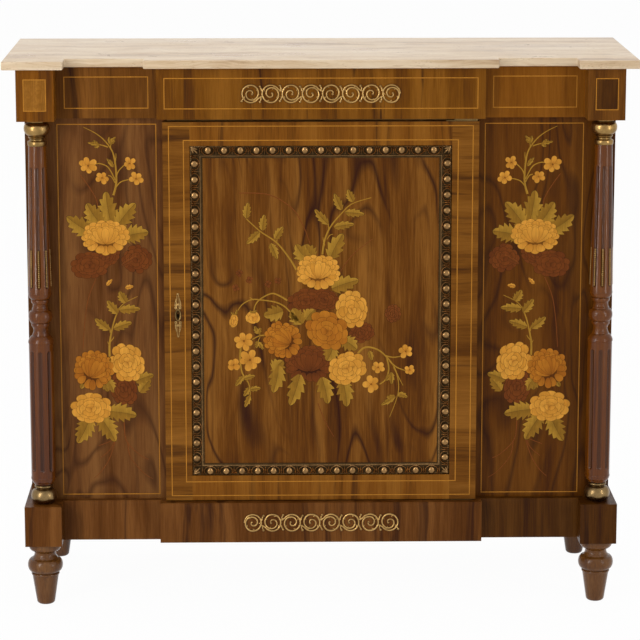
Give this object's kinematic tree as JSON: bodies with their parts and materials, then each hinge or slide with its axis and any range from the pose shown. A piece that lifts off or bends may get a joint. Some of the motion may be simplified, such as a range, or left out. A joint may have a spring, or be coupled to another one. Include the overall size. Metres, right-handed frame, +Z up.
{
  "type": "side cabinet",
  "caption": "breakfront side cabinet with a stone top, fluted corner columns on turned feet, a marquetry door that locks, an inner shelf and a drawer hidden in the frieze",
  "frame": {"origin": "on the floor, under the middle of the whole outline", "axes": "+X to the right hand of someone facing the front, the front faces -Y, +Z up"},
  "size_m": [1.18, 0.42, 1.05],
  "materials": {
    "marble": "polished",
    "walnut": "satin veneer",
    "turned_wood": "french polish",
    "carcass_wood": "bare wood",
    "brass": "aged",
    "lock_steel": "aged"
  },
  "bodies": {
    "carcass": {"marble_top": "marble", "top_board": "carcass_wood", "bottom_board": "carcass_wood", "back_panel": "carcass_wood", "shelf": "carcass_wood", "shelf_cleats": "carcass_wood", "front_panel_left": "walnut", "front_panel_right": "walnut", "end_panel_left": "walnut", "end_panel_right": "walnut", "frieze_side_left": "walnut", "frieze_side_right": "walnut", "frieze_block_left": "walnut", "frieze_block_right": "walnut", "frieze_return_left": "walnut", "frieze_return_right": "walnut", "plinth_side_left": "walnut", "plinth_side_right": "walnut", "plinth_block_left": "walnut", "plinth_block_right": "walnut", "plinth_return_left": "walnut", "plinth_return_right": "walnut", "drawer_runner_left": "carcass_wood", "drawer_runner_right": "carcass_wood", "drawer_rail": "carcass_wood", "plinth_centre": "walnut", "foot_blocks": "carcass_wood", "feet_front": "turned_wood", "feet_rear": "turned_wood", "column_bases": "brass", "column_lower_shafts": "turned_wood", "column_upper_shafts": "turned_wood", "column_caps": "brass", "flute_beads": "brass", "strike_plate": "brass", "hinge_carcass_leaves": "brass", "plinth_mount": "brass"},
    "door": {"door_stile_left": "walnut", "door_stile_right": "walnut", "door_rail_top": "walnut", "door_rail_bottom": "walnut", "door_panel": "walnut", "door_moulding": "brass", "escutcheon": "brass", "lock_case": "lock_steel", "hinge_door_leaves": "brass"},
    "lock_bolt": {"lock_bolt": "lock_steel"},
    "drawer": {"drawer_front": "walnut", "drawer_side_left": "carcass_wood", "drawer_side_right": "carcass_wood", "drawer_back": "carcass_wood", "drawer_bottom": "carcass_wood", "frieze_mount": "brass"}
  },
  "joints": [
    {"name": "door_hinge", "type": "hinge", "parent": "carcass", "child": "door", "pos_m": [0.29, -0.151, 0.566], "axis": [0, 0, 1], "range_deg": [0, 160]},
    {"name": "lock_bolt_slide", "type": "slide", "parent": "door", "child": "lock_bolt", "axis": [-1, 0, 0], "range_m": [0, 0.008]},
    {"name": "drawer_slide", "type": "slide", "parent": "carcass", "child": "drawer", "axis": [0, -1, 0], "range_m": [0, 0.22]}
  ]
}
